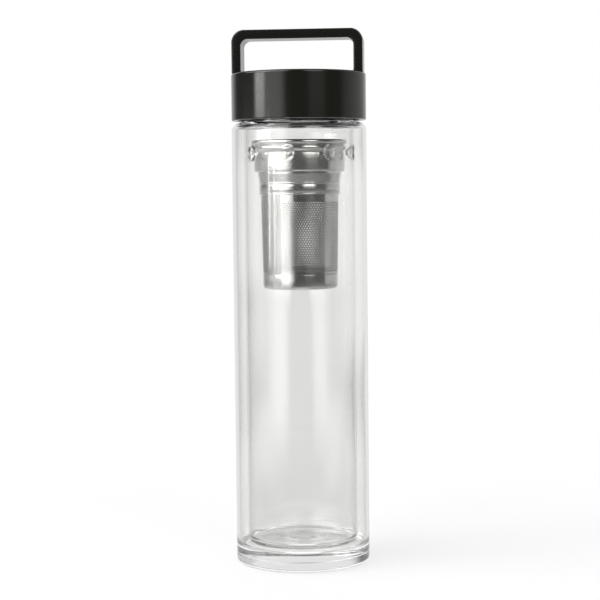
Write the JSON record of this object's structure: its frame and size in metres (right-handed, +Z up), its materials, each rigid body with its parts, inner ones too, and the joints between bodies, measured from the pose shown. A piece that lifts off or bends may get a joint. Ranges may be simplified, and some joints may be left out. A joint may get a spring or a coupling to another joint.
{
  "type": "glass tea infuser flask",
  "caption": "Tall double-walled glass tea flask with a perforated steel infuser hanging in its neck and a black screw lid that carries a strap handle.",
  "frame": {"origin": "middle of the base, on the surface that the flask stands on", "axes": "+Z up along the flask's axis, +X along the handle, to the right in the picture"},
  "size_m": [0.066, 0.066, 0.262],
  "materials": {
    "base_glass": "clear polished",
    "jacket_glass": "clear polished",
    "vessel_glass": "clear polished",
    "polished_steel": "polished stainless steel",
    "perforated_steel": "fine perforated stainless sheet",
    "lid_black": "satin gloss moulded",
    "liner_black": "moulded",
    "silicone": "soft translucent",
    "handle_black": "satin moulded",
    "screw_steel": "plain"
  },
  "bodies": {
    "flask": {"base_disc": "base_glass", "outer_jacket": "jacket_glass", "inner_vessel": "vessel_glass"},
    "infuser": {"infuser_collar": "polished_steel", "infuser_ring": "polished_steel", "infuser_sleeve": "perforated_steel", "infuser_cup": "polished_steel"},
    "lid_seal": {"lid_gasket": "silicone"},
    "lid": {"lid_shell": "lid_black", "lid_liner": "liner_black", "handle": "handle_black", "handle_screw_left": "screw_steel", "handle_screw_right": "screw_steel"}
  },
  "joints": [
    {"name": "infuser_lift", "type": "slide", "parent": "flask", "child": "infuser", "axis": [0, 0, 1], "range_m": [0, 0.125]},
    {"name": "lid_rise", "type": "slide", "parent": "infuser", "child": "lid_seal", "axis": [0, 0, 1], "range_m": [0, 0.01]},
    {"name": "lid_turn", "type": "hinge", "parent": "lid_seal", "child": "lid", "pos_m": [0, 0, 0.2295], "axis": [0, 0, 1], "range_deg": [0, 720]}
  ],
  "couplings": [
    {"joint": "lid_rise", "follows": "lid_turn", "m_per_rad": 0.00079577}
  ]
}
